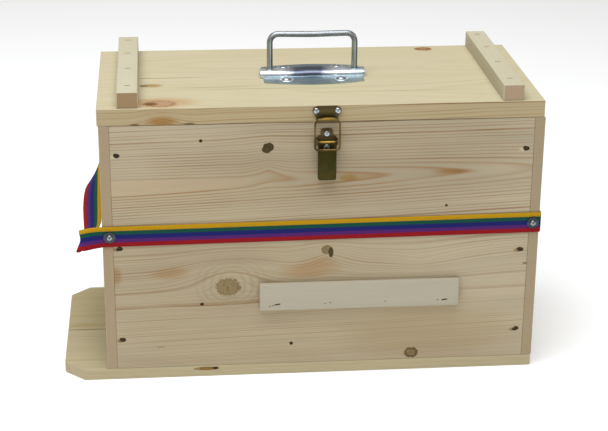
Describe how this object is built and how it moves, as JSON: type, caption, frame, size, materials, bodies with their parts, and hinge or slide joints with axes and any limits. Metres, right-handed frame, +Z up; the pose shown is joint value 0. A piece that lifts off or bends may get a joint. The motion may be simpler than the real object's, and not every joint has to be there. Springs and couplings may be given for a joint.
{
  "type": "tool box",
  "caption": "Lidded softwood box on a longer base board, with a hinged battened lid, folding top handle, front toggle latch and a striped webbing band with a slack loop at one end.",
  "frame": {"origin": "centre of the case's footprint on the underside of the base board", "axes": "+X along the front to the right, +Y from the front to the back, +Z up; the latch faces -Y"},
  "size_m": [0.4789, 0.2253, 0.3318],
  "materials": {
    "case_wood": "planed softwood, bare",
    "lid_wood": "planed softwood, bare",
    "batten_wood": "sawn softwood, bare",
    "base_wood": "planed softwood, stained by use",
    "slat_wood": "sawn softwood, greyed",
    "webbing": "woven, five stripes",
    "bright_zinc": "bright zinc plated",
    "yellow_chromate": "yellow chromated zinc",
    "dark_steel": "dull, dark"
  },
  "bodies": {
    "case": {"base_board": "base_wood", "left_end_wall": "case_wood", "right_end_wall": "case_wood", "front_panel": "case_wood", "back_panel": "case_wood", "front_slat": "slat_wood", "front_nails": "dark_steel", "back_nails": "dark_steel", "base_screws": "bright_zinc", "slat_staples": "dark_steel", "carrying_strap": "webbing", "strap_screws": "bright_zinc", "strap_washers": "bright_zinc", "latch_base_plate": "yellow_chromate", "latch_base_screws": "bright_zinc", "latch_pivot_pin": "yellow_chromate", "left_hinge_case_leaf": "bright_zinc", "left_hinge_pin": "bright_zinc", "right_hinge_case_leaf": "bright_zinc", "right_hinge_pin": "bright_zinc", "hinge_case_screws": "bright_zinc"},
    "lid": {"lid_front_board": "lid_wood", "lid_back_board": "lid_wood", "lid_batten_left": "batten_wood", "lid_batten_right": "batten_wood", "batten_staples": "dark_steel", "handle_plate": "bright_zinc", "handle_screws": "bright_zinc", "latch_catch_plate": "yellow_chromate", "latch_catch_screws": "bright_zinc", "left_hinge_lid_leaf": "bright_zinc", "right_hinge_lid_leaf": "bright_zinc", "hinge_lid_screws": "bright_zinc"},
    "bail": {"handle_bail": "bright_zinc"},
    "latch_lever": {"latch_lever": "yellow_chromate"},
    "latch_loop": {"latch_loop": "yellow_chromate"}
  },
  "joints": [
    {"name": "lid_hinge", "type": "hinge", "parent": "case", "child": "lid", "pos_m": [0, 0.10555, 0.2685], "axis": [-1, 0, 0], "range_deg": [0, 180]},
    {"name": "bail_swing", "type": "hinge", "parent": "lid", "child": "bail", "pos_m": [-0.0024, 0, 0.289], "axis": [-1, 0, 0], "range_deg": [0, 82]},
    {"name": "latch_lever_pivot", "type": "hinge", "parent": "case", "child": "latch_lever", "pos_m": [0.0022, -0.1082, 0.2495], "axis": [-1, 0, 0], "range_deg": [0, 150]},
    {"name": "latch_loop_pivot", "type": "hinge", "parent": "latch_lever", "child": "latch_loop", "pos_m": [0.0022, -0.1112, 0.2425], "axis": [1, 0, 0], "range_deg": [0, 165]}
  ],
  "couplings": [
    {"joint": "latch_loop_pivot", "follows": "latch_lever_pivot", "ratio": 1.1}
  ]
}
